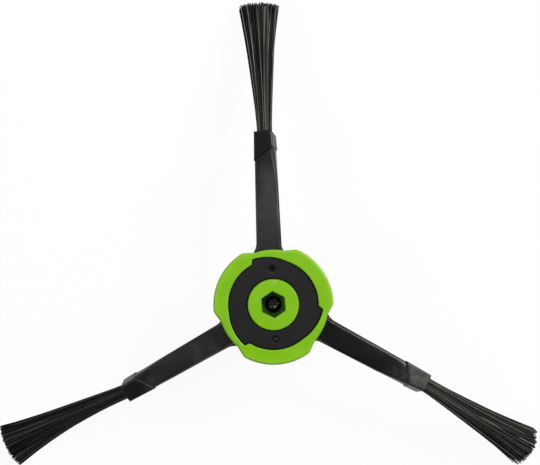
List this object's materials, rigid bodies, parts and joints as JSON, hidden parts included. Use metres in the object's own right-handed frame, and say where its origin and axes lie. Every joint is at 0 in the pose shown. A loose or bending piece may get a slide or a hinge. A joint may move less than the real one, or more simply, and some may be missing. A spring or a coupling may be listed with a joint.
{
  "type": "robot vacuum side brush",
  "caption": "Spinning side brush of a robot vacuum: hard green hub with a hexagonal drive socket, soft black drooping arms, each with a flared tuft of dark bristles.",
  "frame": {"origin": "on the drive axis, level with the hub's top face, at the mouth of the hexagonal socket", "axes": "+Z along the drive axis, up towards the machine; +Y within a few degrees of the first arm"},
  "size_m": [0.1467, 0.1265, 0.0223],
  "materials": {
    "green_plastic": "satin moulded plastic, yellow-green",
    "black_rubber": "matt moulded rubber, black",
    "bristle": "dark grey nylon filaments",
    "screw_steel": "black zinc-plated steel"
  },
  "bodies": {
    "brush": {"hub": "green_plastic", "arm_spider": "black_rubber", "bristle_tuft_1": "bristle", "bristle_tuft_2": "bristle", "bristle_tuft_3": "bristle"},
    "screw": {"captive_screw": "screw_steel"}
  },
  "joints": [
    {"name": "captive_screw_turn", "type": "hinge", "parent": "brush", "child": "screw", "pos_m": [0, 0, -0.0087], "axis": [0, 0, 1], "continuous": true}
  ]
}
